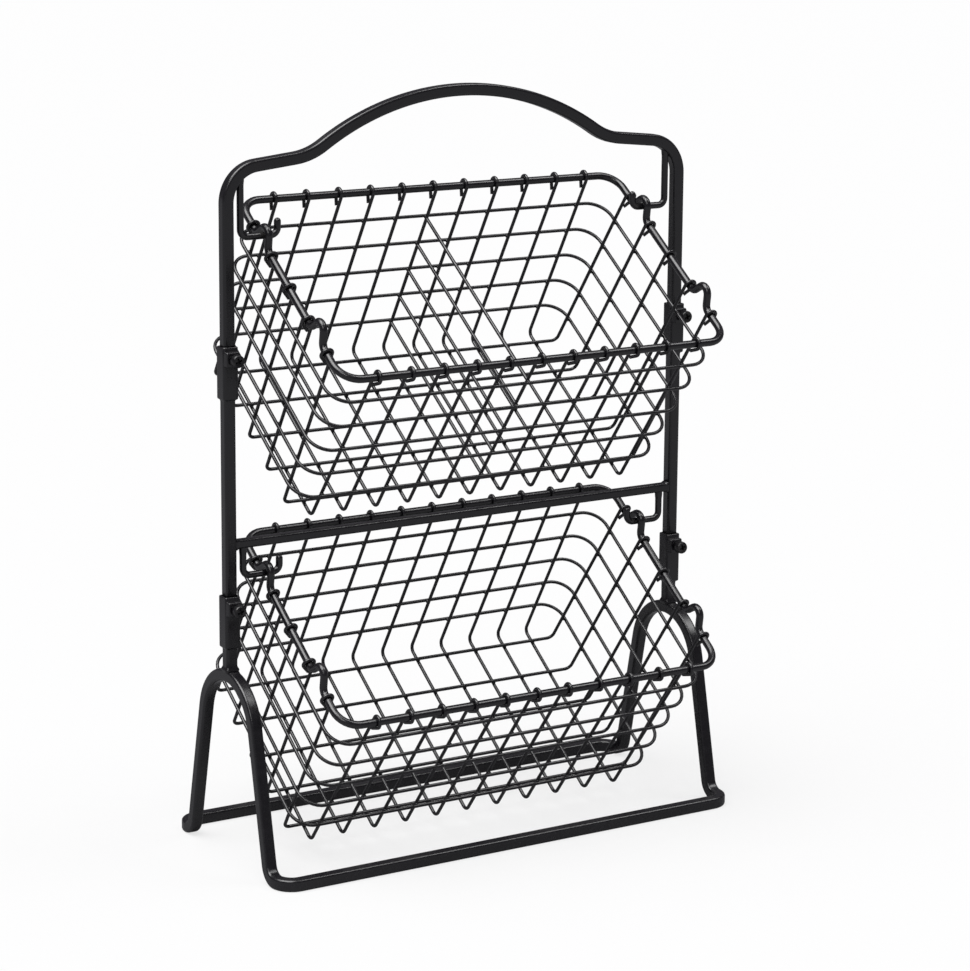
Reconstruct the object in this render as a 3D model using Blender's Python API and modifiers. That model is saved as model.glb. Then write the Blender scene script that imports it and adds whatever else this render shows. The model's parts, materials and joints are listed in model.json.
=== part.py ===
"""Two-tier wire produce stand: a knock-down steel frame and two hanging wire baskets.

Metres, +Z up, standing on Z = 0 with the origin at the middle of the footprint.
X is the width, -Y is the front, and the posts stand in the plane Y = 0.
"""

import math

import bmesh
import bpy
from mathutils import Matrix, Vector

MM = 0.001
GAP = 0.3 * MM                      # clearance where two pieces touch
WELD_REACH = 2.0 * MM               # a tube welded into a sleeve's foot overlaps it by this much
BOSS_ROOT = 0.8 * MM                # a boss is let into the sleeve's wall by this much
CLEAR_CUT = 1.0 * MM                # a socket or bore is cut this far past its mouth
SEAM = 0.01 * MM                    # points nearer than this are one point
AXIS_SEAM = 0.05 * MM               # the same, on the axis of a turned piece

# How finely the bends are drawn
SHOULDER_STEPS = 5
HANDLE_STEPS = 4
ARCH_STEPS = 8
BEND_STEPS = 3
NOTCH_STEPS = 5
SMALL_BEND_STEPS = 2
WRAP_STEPS = 5
TURNED_STEPS = 12
ROUND_SIDES = 8
WIRE_SIDES = 6

# Frame
OVERALL_HEIGHT = 439.0 * MM
OVERALL_WIDTH = 309.0 * MM
TUBE = 7.0 * MM                     # square tube across its flats
TUBE_CORNER = 1.6 * MM              # rounding of the tube's edges
SLEEVE = 9.4 * MM                   # outer width of a socket sleeve
SLEEVE_CORNER = 1.2 * MM
SLEEVE_LENGTH = 30.0 * MM
SOCKET_DEPTH = 25.0 * MM            # how far a tube plugs into a sleeve
UPPER_SLEEVE_TOP = 299.5 * MM
LOWER_SLEEVE_TOP = 156.3 * MM
SHOULDER_Z = 397.6 * MM             # where the axes of an upper leg and its shoulder would cross
SHOULDER_SLOPE = math.radians(6.0)  # the shoulders rise towards the handle
SHOULDER_BEND = 20.5 * MM
HANDLE_RADIUS = 165.0 * MM          # arc of the carrying handle
HANDLE_EASE = 40.0 * MM             # reverse bend from shoulder to handle
CROSSBAR_Z = 185.8 * MM
CROSSBAR = 5.4 * MM

# Base loop
FOOT_Y = 65.0 * MM                  # floor bars lie this far before and behind the posts
FOOT_CORNER = 10.0 * MM             # bend from a foot into its floor bar
FOOT_BEND = 9.0 * MM                # bend from a leg into its foot
ARCH_TOP = 113.0 * MM
ARCH_RADIUS = 31.0 * MM             # axis radius of the arched side legs
LEG_SPLAY = math.radians(12.3)

# Screws
SCREW_DROP = 6.6 * MM               # below the rim of the sleeve
BOSS = 8.4 * MM                     # square threaded boss across its flats
BOSS_HEIGHT = 3.0 * MM
SCREW_SHANK = 3.2 * MM
SCREW_NECK = 5.2 * MM               # collar that holds the head off the boss
SCREW_NECK_LENGTH = 2.6 * MM
SCREW_HEAD = 7.4 * MM
SCREW_HEAD_HEIGHT = 4.2 * MM
HEAD_CROWN = ((1.0, 0.45), (0.72, 0.86))  # radius and height shares round the head

# Hooks
HOOK_ROD = 4.0 * MM
HOOK_X = 142.3 * MM                 # the drop of a hook, inside the post
HOOK_TIP_X = 119.2 * MM
HOOK_TIP_RISE = 9.5 * MM
HOOK_BEND = 4.2 * MM
UPPER_HOOK_TOP = 388.5 * MM
UPPER_ROD_Z = 360.0 * MM            # level rod that carries the upper basket
LOWER_ROD_Z = 166.8 * MM

# Baskets, in their own plane: rim length runs from the back forward, depth runs down from the rim
RIM_WIRE = 4.5 * MM
MESH_WIRE = 2.0 * MM
RUNG_WIRE = 1.8 * MM                # rungs of the divider
RIM_HALF_WIDTH = 127.0 * MM
RIM_LENGTH = 146.0 * MM
RIM_CORNER = 12.5 * MM
BASKET_DEPTH = 120.0 * MM
END_WALL_TAPER = 7.0 * MM           # front and back walls lean in by this much
SIDE_WALL_TAPER = 5.0 * MM
BOTTOM_BEND = 4.0 * MM
CROSS_WIRES = 11                    # front to back
CROSS_PITCH = 21.0 * MM
LONG_WIRES = 5                      # side to side
LONG_PITCH = 26.0 * MM
LOOPS = 5
LOOP_PITCH = 20.0 * MM
LOOP_CORNER = 13.0 * MM
NOTCH_STARTS = (26.8 * MM, 103.8 * MM)  # along the side rim: rear notch in use, front one spare
NOTCH_HALF = 7.8 * MM               # half the length of a notch
NOTCH_RISE = 15.3 * MM              # of its unrounded peak
NOTCH_BEND = 4.6 * MM               # peak bend, which sits round the hook rod
NOTCH_EASE = 5.0 * MM               # bends at its feet
WRAP_TURN = math.radians(220.0)     # how far a mesh wire wraps round the rim
WRAP_TAIL = 6.5 * MM
UPPER_TILT = math.radians(34.6)
LOWER_TILT = math.radians(35.2)

POST_X = (OVERALL_WIDTH - TUBE) / 2
HANDLE_TOP_Z = OVERALL_HEIGHT - TUBE / 2

FINISHES = {
    "tube_coat": ((0.012, 0.012, 0.013, 1.0), 0.42, 0.0),
    "wire_coat": ((0.010, 0.010, 0.011, 1.0), 0.38, 0.0),
    "screw_coat": ((0.014, 0.014, 0.015, 1.0), 0.32, 0.6),
}


def clear_scene():
    for thing in list(bpy.data.objects):
        bpy.data.objects.remove(thing, do_unlink=True)


def make_finish(name):
    colour, roughness, metallic = FINISHES[name]
    finish = bpy.data.materials.new(name)
    finish.use_nodes = True
    shader = finish.node_tree.nodes["Principled BSDF"]
    shader.inputs["Base Color"].default_value = colour
    shader.inputs["Roughness"].default_value = roughness
    shader.inputs["Metallic"].default_value = metallic
    return finish


def make_collection(name):
    collection = bpy.data.collections.new(name)
    bpy.context.scene.collection.children.link(collection)
    return collection


def make_empty(name, location, tilt=0.0):
    empty = bpy.data.objects.new(name, None)
    empty.location = location
    empty.rotation_euler = (tilt, 0.0, 0.0)
    empty.empty_display_size = 0.02
    PARTS.objects.link(empty)
    return empty


def rounded(corners, closed=False):
    """Path through (point, bend radius, steps) corners, with each bend drawn as an arc."""
    path = []
    count = len(corners)
    for index, (corner, radius, steps) in enumerate(corners):
        corner = Vector(corner)
        at_end = not closed and index in (0, count - 1)
        if at_end or radius == 0:
            path.append(corner)
            continue
        before = (Vector(corners[index - 1][0]) - corner).normalized()
        after = (Vector(corners[(index + 1) % count][0]) - corner).normalized()
        half = before.angle(after) / 2
        centre = corner + (before + after).normalized() * (radius / math.sin(half))
        start = corner + before * (radius / math.tan(half)) - centre
        axis = before.cross(after).normalized()
        turn = 2 * half - math.pi
        for step in range(steps + 1):
            path.append(centre + Matrix.Rotation(turn * step / steps, 3, axis) @ start)
    return path


def arc(centre, radius, start, end, steps):
    """Points of an arc in the (first, second) plane, ends included."""
    points = []
    for step in range(steps + 1):
        angle = start + (end - start) * step / steps
        points.append((centre[0] + radius * math.cos(angle), centre[1] + radius * math.sin(angle)))
    return points


def sweep(name, path, width, finish, closed=False, sides=ROUND_SIDES, profile=None, parent=None):
    """Bar bent along a path: round of this width, or with a section curve."""
    data = bpy.data.curves.new(name, "CURVE")
    data.dimensions = "3D"
    data.twist_mode = "MINIMUM"
    data.use_fill_caps = not closed
    if profile is None:
        data.bevel_depth = width / 2
        data.bevel_resolution = (sides - 4) // 2
    else:
        data.bevel_mode = "OBJECT"
        data.bevel_object = profile
    spline = data.splines.new("POLY")
    spline.points.add(len(path) - 1)
    for point, place in zip(spline.points, path):
        point.co = (*place, 1.0)
    spline.use_cyclic_u = closed
    bar = bpy.data.objects.new(name, data)
    data.materials.append(finish)
    PARTS.objects.link(bar)
    bar.parent = parent
    return bar


def square_outline(width, corner):
    """Corner points of a square section with its edges taken off."""
    half = width / 2
    flat = half - corner
    return [(half, -flat), (half, flat), (flat, half), (-flat, half),
            (-half, flat), (-half, -flat), (-flat, -half), (flat, -half)]


def section_curve(name, width, corner):
    data = bpy.data.curves.new(name, "CURVE")
    data.dimensions = "2D"
    spline = data.splines.new("POLY")
    outline = square_outline(width, corner)[::-1]
    spline.points.add(len(outline) - 1)
    for point, (across, up) in zip(spline.points, outline):
        point.co = (across, up, 0.0, 1.0)
    spline.use_cyclic_u = True
    section = bpy.data.objects.new(name, data)
    section.hide_render = True
    section.display_type = "WIRE"
    CUTTERS.objects.link(section)
    return section


def mesh_object(name, shape, collection):
    data = bpy.data.meshes.new(name)
    bmesh.ops.recalc_face_normals(shape, faces=shape.faces)
    shape.to_mesh(data)
    shape.free()
    thing = bpy.data.objects.new(name, data)
    collection.objects.link(thing)
    return thing


def square_bar(name, width, corner, bottom, top, collection):
    """Upright bar of square section on its own axis."""
    shape = bmesh.new()
    outline = [shape.verts.new((across, up, bottom)) for across, up in square_outline(width, corner)]
    face = shape.faces.new(outline)
    raised = bmesh.ops.extrude_face_region(shape, geom=[face])["geom"]
    moved = [part for part in raised if isinstance(part, bmesh.types.BMVert)]
    bmesh.ops.translate(shape, verts=moved, vec=(0.0, 0.0, top - bottom))
    return mesh_object(name, shape, collection)


def forward_cylinder(name, diameter, near, far, height, collection):
    """Cylinder along Y between two depths, at this height."""
    shape = bmesh.new()
    bmesh.ops.create_cone(shape, cap_ends=True, segments=TURNED_STEPS, radius1=diameter / 2,
                          radius2=diameter / 2, depth=abs(far - near))
    turn = Matrix.Rotation(math.pi / 2, 4, "X")
    place = Matrix.Translation((0.0, (near + far) / 2, height))
    bmesh.ops.transform(shape, matrix=place @ turn, verts=shape.verts)
    return mesh_object(name, shape, collection)


def forward_block(name, width, near, far, height, collection):
    """Square block along Y between two depths, at this height."""
    shape = bmesh.new()
    size = Matrix.Diagonal((width, abs(far - near), width, 1.0))
    place = Matrix.Translation((0.0, (near + far) / 2, height))
    bmesh.ops.create_cube(shape, size=1.0, matrix=place @ size)
    return mesh_object(name, shape, collection)


def cut(thing, operation, helper):
    """Boolean with a helper solid, which stays hidden in the cutters."""
    helper.location = thing.location
    helper.hide_render = True
    helper.display_type = "WIRE"
    change = thing.modifiers.new(operation.lower(), "BOOLEAN")
    change.operation = operation
    change.object = helper
    change.solver = "EXACT"


def sleeved_post(name, side, foot, sleeve_top, parent):
    """Tube with a socket sleeve on its upper end, and a threaded boss on the sleeve's front."""
    sleeve_foot = sleeve_top - SLEEVE_LENGTH
    post = square_bar(name, SLEEVE, SLEEVE_CORNER, sleeve_foot, sleeve_top, PARTS)
    post.location.x = side * POST_X
    stub = square_bar(name + "_stub", TUBE, TUBE_CORNER, foot, sleeve_foot + WELD_REACH, CUTTERS)
    screw_z = sleeve_top - SCREW_DROP
    boss_face = -SLEEVE / 2 - BOSS_HEIGHT
    boss = forward_block(name + "_boss", BOSS, boss_face, -SLEEVE / 2 + BOSS_ROOT, screw_z, CUTTERS)
    socket = square_bar(name + "_socket", TUBE + 2 * GAP, TUBE_CORNER,
                        sleeve_top - SOCKET_DEPTH - GAP, sleeve_top + CLEAR_CUT, CUTTERS)
    thread = forward_cylinder(name + "_thread", SCREW_SHANK + 2 * GAP, boss_face - CLEAR_CUT, 0.0,
                              screw_z, CUTTERS)
    for operation, helper in (("UNION", stub), ("UNION", boss), ("DIFFERENCE", socket),
                              ("DIFFERENCE", thread)):
        cut(post, operation, helper)
    post.data.materials.append(COATS["tube_coat"])
    post.parent = parent
    return post


def screw(name, side, sleeve_top, parent):
    """Round-headed screw, turned about its own axis, that clamps the tube in the sleeve."""
    neck_back = -SLEEVE / 2 - BOSS_HEIGHT - GAP
    tip = -TUBE / 2 - GAP
    profile = bpy.data.meshes.new(name)
    shank = SCREW_SHANK / 2
    neck = SCREW_NECK / 2
    head = SCREW_HEAD / 2
    head_back = -SCREW_NECK_LENGTH
    crown = SCREW_HEAD_HEIGHT
    outline = [(0.0, tip - neck_back), (shank, tip - neck_back), (shank, 0.0), (neck, 0.0),
               (neck, head_back), (head, head_back)]
    outline += [(out * head, head_back - high * crown) for out, high in HEAD_CROWN]
    outline.append((0.0, head_back - crown))
    profile.from_pydata([(radius, along, 0.0) for radius, along in outline],
                        [(step, step + 1) for step in range(len(outline) - 1)], [])
    thing = bpy.data.objects.new(name, profile)
    turn = thing.modifiers.new("turned", "SCREW")
    turn.axis = "Y"
    turn.steps = TURNED_STEPS
    turn.render_steps = TURNED_STEPS
    turn.use_merge_vertices = True
    turn.merge_threshold = AXIS_SEAM
    turn.use_smooth_shade = True
    thing.location = (side * POST_X, neck_back, sleeve_top - SCREW_DROP)
    profile.materials.append(COATS["screw_coat"])
    PARTS.objects.link(thing)
    thing.parent = parent
    return thing


def top_frame(parent):
    """One tube bent into both upper legs, the sloping shoulders and the arched handle."""
    handle_centre = Vector((0.0, HANDLE_TOP_Z - HANDLE_RADIUS))
    inward = Vector((-math.cos(SHOULDER_SLOPE), math.sin(SHOULDER_SLOPE)))
    over = Vector((math.sin(SHOULDER_SLOPE), math.cos(SHOULDER_SLOPE)))
    corner = Vector((POST_X, SHOULDER_Z))
    from_handle = corner + over * HANDLE_EASE - handle_centre
    back = from_handle.dot(inward)
    spare = from_handle.length_squared - (HANDLE_RADIUS + HANDLE_EASE) ** 2
    ease = from_handle + inward * (-back - math.sqrt(back ** 2 - spare))
    meet = math.atan2(ease.y, ease.x)
    leg_end = UPPER_SLEEVE_TOP - SOCKET_DEPTH
    square_on = math.pi / 2 - SHOULDER_SLOPE
    bend_foot = SHOULDER_Z - SHOULDER_BEND * math.tan(square_on / 2)
    half = [(POST_X, leg_end)]
    half += arc((POST_X - SHOULDER_BEND, bend_foot), SHOULDER_BEND, 0.0, square_on, SHOULDER_STEPS)
    half += arc(handle_centre + ease, HANDLE_EASE, square_on - math.pi, meet - math.pi, BEND_STEPS)
    half += arc(handle_centre, HANDLE_RADIUS, meet, math.pi / 2, HANDLE_STEPS)[1:]
    other = [(-across, up) for across, up in reversed(half[:-1])]
    path = [(across, 0.0, up) for across, up in half + other]
    sweep("top_frame", path, TUBE, COATS["tube_coat"], profile=TUBE_SECTION, parent=parent)


def base_loop(parent):
    """One closed tube: floor bars, turned-out feet and an arched leg at each side."""
    level = TUBE / 2
    arch_centre = ARCH_TOP - TUBE / 2 - ARCH_RADIUS
    leg_top_y = ARCH_RADIUS * math.cos(LEG_SPLAY)
    leg_top_z = arch_centre + ARCH_RADIUS * math.sin(LEG_SPLAY)
    leg_foot_y = leg_top_y + (leg_top_z - level) * math.tan(LEG_SPLAY)
    arch = arc((0.0, arch_centre), ARCH_RADIUS, math.pi - LEG_SPLAY, LEG_SPLAY, ARCH_STEPS)
    path = []
    for side in (-1, 1):
        quarter = [((0.0, -side * FOOT_Y, level), 0.0, 0),
                   ((side * POST_X, -side * FOOT_Y, level), FOOT_CORNER, BEND_STEPS),
                   ((side * POST_X, -side * leg_foot_y, level), FOOT_BEND, BEND_STEPS),
                   ((side * POST_X, -side * leg_top_y, leg_top_z), 0.0, 0)]
        down = rounded(quarter)
        over = [Vector((side * POST_X, side * along, up)) for along, up in arch]
        back = [Vector((spot.x, -spot.y, spot.z)) for spot in reversed(down)]
        path += down[1:-1] + over + back[1:-1]
    sweep("base_loop", path, TUBE, COATS["tube_coat"], closed=True, profile=TUBE_SECTION, parent=parent)


def crossbar(parent):
    reach = POST_X - TUBE / 2 - GAP
    path = [(-reach, 0.0, CROSSBAR_Z), (reach, 0.0, CROSSBAR_Z)]
    sweep("crossbar", path, CROSSBAR, COATS["tube_coat"], profile=BAR_SECTION, parent=parent)


def hook(name, side, top, rod_z, parent):
    """Rod that drops inside the post, runs level towards the middle and turns up at its tip."""
    corners = [((side * HOOK_X, 0.0, top), 0.0, 0),
               ((side * HOOK_X, 0.0, rod_z), HOOK_BEND, BEND_STEPS),
               ((side * HOOK_TIP_X, 0.0, rod_z), HOOK_BEND, BEND_STEPS),
               ((side * HOOK_TIP_X, 0.0, rod_z + HOOK_TIP_RISE), 0.0, 0)]
    sweep(name, rounded(corners), HOOK_ROD, COATS["wire_coat"], parent=parent)


def in_basket(across, along, up):
    """Point of a basket from the rim's own measures, seen from the hook rod's centre."""
    return Vector((across, ROD_ALONG - along, up - ROD_UP))


def basket_rim(name, parent):
    """Rim wire with two notches in each side."""
    side = [((RIM_HALF_WIDTH, 0.0, 0.0), RIM_CORNER, BEND_STEPS)]
    for start in NOTCH_STARTS:
        side.append(((RIM_HALF_WIDTH, start, 0.0), NOTCH_EASE, SMALL_BEND_STEPS))
        side.append(((RIM_HALF_WIDTH, start + NOTCH_HALF, NOTCH_RISE), NOTCH_BEND, NOTCH_STEPS))
        side.append(((RIM_HALF_WIDTH, start + 2 * NOTCH_HALF, 0.0), NOTCH_EASE, SMALL_BEND_STEPS))
    side.append(((RIM_HALF_WIDTH, RIM_LENGTH, 0.0), RIM_CORNER, BEND_STEPS))
    other = [((-place[0], place[1], place[2]), bend, steps) for place, bend, steps in reversed(side)]
    corners = [(in_basket(*place), bend, steps) for place, bend, steps in side + other]
    sweep(name, rounded(corners, closed=True), RIM_WIRE, COATS["wire_coat"], closed=True, parent=parent)


def wall_inset(taper, depth):
    """How far a mesh wire on the wall stands inside the rim's axis at this depth."""
    return WRAP_RADIUS + taper * depth / BASKET_DEPTH


def u_wire(half_span, taper, depth):
    """Wire that wraps both rims, runs down both walls and across the bottom, as (across, up)."""
    wrap = [(half_span + WRAP_RADIUS * math.cos(angle), WRAP_RADIUS * math.sin(angle))
            for angle in (math.pi - WRAP_TURN * step / WRAP_STEPS for step in range(WRAP_STEPS + 1))]
    last = math.pi - WRAP_TURN
    tail = (wrap[-1][0] + WRAP_TAIL * math.sin(last), wrap[-1][1] - WRAP_TAIL * math.cos(last))
    low = half_span - wall_inset(taper, depth)
    end = [tail] + list(reversed(wrap))
    bottom = rounded([((*end[-1], 0.0), 0.0, 0), ((low, -depth, 0.0), BOTTOM_BEND, SMALL_BEND_STEPS),
                      ((-low, -depth, 0.0), 0.0, 0)])
    half = end + [(spot.x, spot.y) for spot in bottom[1:-1]]
    return half + [(-across, up) for across, up in reversed(half)]


def cross_wire(name, across, parent):
    centre = RIM_LENGTH / 2
    shape = u_wire(centre, END_WALL_TAPER, BASKET_DEPTH)
    path = [in_basket(across, centre + along, up) for along, up in shape]
    return sweep(name, path, MESH_WIRE, COATS["wire_coat"], sides=WIRE_SIDES, parent=parent)


def long_wire(name, along, parent):
    shape = u_wire(RIM_HALF_WIDTH, SIDE_WALL_TAPER, BASKET_DEPTH - MESH_WIRE - GAP)
    path = [in_basket(across, along, up) for across, up in shape]
    return sweep(name, path, MESH_WIRE, COATS["wire_coat"], sides=WIRE_SIDES, parent=parent)


def wall_loop(name, depth, parent):
    """Closed wire round the outside of the wall wires."""
    proud = MESH_WIRE + GAP
    half_width = RIM_HALF_WIDTH - wall_inset(SIDE_WALL_TAPER, depth) + proud
    back = wall_inset(END_WALL_TAPER, depth) - proud
    front = RIM_LENGTH - back
    corners = [(in_basket(across, along, -depth), LOOP_CORNER, BEND_STEPS)
               for across, along in ((half_width, back), (half_width, front),
                                     (-half_width, front), (-half_width, back))]
    sweep(name, rounded(corners, closed=True), MESH_WIRE, COATS["wire_coat"], closed=True, sides=WIRE_SIDES,
          parent=parent)


def solid_of(curve):
    """Closed mesh object in the place of a swept curve."""
    bpy.context.view_layer.update()
    graph = bpy.context.evaluated_depsgraph_get()
    data = bpy.data.meshes.new_from_object(curve.evaluated_get(graph))
    shape = bmesh.new()
    shape.from_mesh(data)
    bmesh.ops.remove_doubles(shape, verts=shape.verts, dist=SEAM)
    shape.to_mesh(data)
    shape.free()
    name = curve.name
    parent = curve.parent
    place = curve.matrix_world.copy()
    bpy.data.objects.remove(curve, do_unlink=True)
    data.name = name
    thing = bpy.data.objects.new(name, data)
    PARTS.objects.link(thing)
    thing.parent = parent
    thing.matrix_world = place
    return thing


def divider(name, parent):
    """Middle cross wire with a level rung welded across it at each wall loop."""
    panel = solid_of(cross_wire(name, 0.0, parent))
    for level in range(1, LOOPS + 1):
        depth = level * LOOP_PITCH
        inset = wall_inset(END_WALL_TAPER, depth)
        path = [in_basket(0.0, inset, -depth), in_basket(0.0, RIM_LENGTH - inset, -depth)]
        rung = solid_of(sweep(f"{name}_rung_{level}", path, RUNG_WIRE, COATS["wire_coat"], sides=WIRE_SIDES,
                              parent=parent))
        PARTS.objects.unlink(rung)
        CUTTERS.objects.link(rung)
        rung.hide_render = True
        rung.display_type = "WIRE"
        join = panel.modifiers.new(f"rung {level}", "BOOLEAN")
        join.operation = "UNION"
        join.object = rung
        join.solver = "EXACT"


def basket(tier, rod_z, tilt, divided):
    """Rim, wall loops, cross wires and long wires of one basket, hung on its hook rods."""
    swing = make_empty(f"{tier}_basket_swing", (0.0, 0.0, rod_z), tilt)
    basket_rim(f"{tier}_rim", swing)
    for level in range(1, LOOPS + 1):
        wall_loop(f"{tier}_wall_loop_{level}", level * LOOP_PITCH, swing)
    middle = (CROSS_WIRES + 1) // 2
    for index in range(1, CROSS_WIRES + 1):
        if divided and index == middle:
            divider(f"{tier}_divider", swing)
        else:
            cross_wire(f"{tier}_cross_wire_{index}", (index - middle) * CROSS_PITCH, swing)
    centre = (LONG_WIRES + 1) / 2
    for index in range(1, LONG_WIRES + 1):
        along = RIM_LENGTH / 2 + (index - centre) * LONG_PITCH
        long_wire(f"{tier}_long_wire_{index}", along, swing)


WRAP_RADIUS = (RIM_WIRE + MESH_WIRE) / 2 + GAP
NOTCH_ANGLE = math.atan2(NOTCH_HALF, NOTCH_RISE)
ROD_ALONG = NOTCH_STARTS[0] + NOTCH_HALF  # the hook rod lies at the centre of the rear notch's bend
ROD_UP = NOTCH_RISE - NOTCH_BEND / math.sin(NOTCH_ANGLE)

clear_scene()
PARTS = make_collection("wire_produce_stand")
CUTTERS = make_collection("cutters")
COATS = {finish: make_finish(finish) for finish in FINISHES}
TUBE_SECTION = section_curve("tube_section", TUBE, TUBE_CORNER)
BAR_SECTION = section_curve("bar_section", CROSSBAR, TUBE_CORNER)

base = make_empty("base_section", (0.0, 0.0, 0.0))
middle_section = make_empty("middle_section", (0.0, 0.0, 0.0))
top_section = make_empty("top_section", (0.0, 0.0, 0.0))

base_loop(base)
top_frame(top_section)
crossbar(middle_section)
for side_name, side_sign in (("left", -1), ("right", 1)):
    sleeved_post(f"base_post_{side_name}", side_sign, ARCH_TOP + 2 * GAP, LOWER_SLEEVE_TOP, base)
    sleeved_post(f"middle_post_{side_name}", side_sign, LOWER_SLEEVE_TOP - SOCKET_DEPTH,
                 UPPER_SLEEVE_TOP, middle_section)
    screw(f"lower_screw_{side_name}", side_sign, LOWER_SLEEVE_TOP, base)
    screw(f"upper_screw_{side_name}", side_sign, UPPER_SLEEVE_TOP, middle_section)
    hook(f"upper_hook_{side_name}", side_sign, UPPER_HOOK_TOP, UPPER_ROD_Z, top_section)
    hook(f"lower_hook_{side_name}", side_sign, CROSSBAR_Z - CROSSBAR / 2 - GAP, LOWER_ROD_Z,
         middle_section)
basket("upper", UPPER_ROD_Z, UPPER_TILT, divided=True)
basket("lower", LOWER_ROD_Z, LOWER_TILT, divided=False)
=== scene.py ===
"""Looks of a two-tier wire produce stand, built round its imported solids.

Metres, +Z up, in the frame of the solids: X is the width, -Y is the front, and the posts stand in Y = 0.
"""

import json
import math

import bmesh
import bpy
from bpy.props import FloatProperty, FloatVectorProperty, PointerProperty
from mathutils import Matrix, Vector

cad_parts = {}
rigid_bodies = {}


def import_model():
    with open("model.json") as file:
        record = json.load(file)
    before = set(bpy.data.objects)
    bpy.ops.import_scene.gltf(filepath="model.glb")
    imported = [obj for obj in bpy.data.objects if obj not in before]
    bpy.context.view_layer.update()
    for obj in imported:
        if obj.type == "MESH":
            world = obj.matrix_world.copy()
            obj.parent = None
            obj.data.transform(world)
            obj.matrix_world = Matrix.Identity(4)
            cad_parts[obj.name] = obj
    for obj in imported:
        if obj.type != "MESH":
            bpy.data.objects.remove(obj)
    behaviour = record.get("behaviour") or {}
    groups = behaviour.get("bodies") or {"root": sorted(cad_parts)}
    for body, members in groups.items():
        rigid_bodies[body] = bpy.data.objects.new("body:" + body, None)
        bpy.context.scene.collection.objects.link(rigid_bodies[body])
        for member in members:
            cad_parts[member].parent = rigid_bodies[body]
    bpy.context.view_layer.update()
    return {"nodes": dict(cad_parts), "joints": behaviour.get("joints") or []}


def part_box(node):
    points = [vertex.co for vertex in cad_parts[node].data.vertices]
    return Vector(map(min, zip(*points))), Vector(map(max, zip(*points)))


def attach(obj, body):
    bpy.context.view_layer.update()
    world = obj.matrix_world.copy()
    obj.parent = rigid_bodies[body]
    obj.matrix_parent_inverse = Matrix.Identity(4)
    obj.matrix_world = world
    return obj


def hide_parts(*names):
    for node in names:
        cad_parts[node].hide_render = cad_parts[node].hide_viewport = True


bl_info = {
    "name": "Wire produce stand",
    "version": (1, 0, 0),
    "blender": (4, 5, 0),
    "location": "3D View > Sidebar > Produce Stand",
    "description": "Coated tube, bent wire and hardware of a two-tier produce stand",
    "category": "Object",
}

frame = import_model()

MM = 0.001
SIDES = (("left", -1), ("right", 1))
TIERS = ("upper", "lower")
CROSS_WIRES = 11
LONG_WIRES = 5
LOOPS = 5
MIDDLE_WIRE = (CROSS_WIRES + 1) // 2

# How finely the forms are drawn
BEND_STEPS = 8
ARC_STEPS = 28
WRAP_STEPS = 16
CORNER_STEPS = 5
TIP_STEPS = 5
RIM_SIDES = 18
WIRE_SIDES = 12
TURNED_SIDES = 48
WELD_FACETS = 2
FLAT_HOLD = 0.82
TIP_TURN = 0.47 * math.pi
SHARP = math.radians(48.0)

# Weld beads and plug ends of the posts: millimetres up from the foot, growth of the tube in millimetres
BEAD_SINK = 0.9
POST_BEAD = ((0.0, 1.0), (0.9, 1.9), (1.7, 1.5), (2.5, 0.6), (3.2, 0.0))
PLUG_END = ((0.0, -0.9), (0.5, 0.0))

# Lips, welds and rounded rims: share of the section, millimetres from where they start
SLEEVE_WELD = ((1.0, -1.1), (1.07, -0.3))
SLEEVE_FOOT = ((0.88, 0.0), (0.955, 0.25), (1.0, 0.8))
SLEEVE_RIM = ((1.0, -0.6), (0.965, -0.15), (0.91, 0.0))
SOCKET_RIM = ((1.03, 0.0), (1.0, -0.4))
BOSS_WELD = ((1.04, -0.7), (1.04, 0.1), (1.0, 0.7))
BOSS_FACE = ((1.0, -0.7), (0.965, -0.2), (0.89, 0.0))
BOSS_MOUTH = ((1.12, 0.0), (1.0, -0.3))
BOSS_END = ((1.0, -0.5),)
CROSSBAR_WELD = ((1.15, 0.6), (1.30, 0.1), (1.26, -0.7), (1.10, -1.5), (1.0, -2.2))
HOOK_WELD = ((1.14, 0.0), (1.14, -2.2), (1.10, -3.2), (1.04, -4.2), (1.0, -5.2))
LEG_END = ((0.88, 0.0), (1.0, 0.6))
SCREW_TIP = ((0.7, 0.0), (1.0, 0.5))
NECK_FOOT = ((0.92, 0.0), (1.0, 0.25))
NECK_TOP = ((1.0, -0.15), (1.04, 0.0))
HEAD_FOOT = ((0.93, 0.0), (1.0, 0.25))
HEAD_ROUND = ((1.0, -1.5), (0.975, -0.9), (0.92, -0.45), (0.84, -0.2), (0.74, -0.1), (0.66, -0.25))
RECESS_WALL = ((1.0, -0.3), (0.94, -0.6), (0.62, -2.0))

# Cross recess of a screw: shares of the head's radius, and the turn at which it stands
RECESS_ARM = 0.56
RECESS_CORE = 0.17
RECESS_WEB = 1.5
RECESS_CORNER = math.radians(38.0)
SCREW_TURN = math.radians(20.0)

# Noise in the coat: scale, detail, roughness
CLOUD = (38.0, 3.0, 0.55)
MOTTLE = (310.0, 2.0, 0.5)
PEEL = (1250.0, 2.0, 0.5)
GRAIN = (5200.0, 1.0, 0.5)

# How the coat's noise is read: shares of each, and the ranges in which a mark comes up
CLOUD_SHARE = 0.55
TONE_RANGE = (0.33, 0.68)
DUST_SLOPE = (0.35, 1.0)
DUST_RANGE = (0.40, 0.68)
WEAR_RANGE = (0.47, 0.62)
PEEL_SHARE = 0.75
MOTTLE_GLOSS = 0.12
GRAIN_GLOSS = 0.08
DUST_GLOSS = 0.5
WEAR_GLOSS = 0.08
WIRE_GLOSS = 0.03
BARE_METAL = 0.85
HARDWARE_METAL = 0.35

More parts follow.
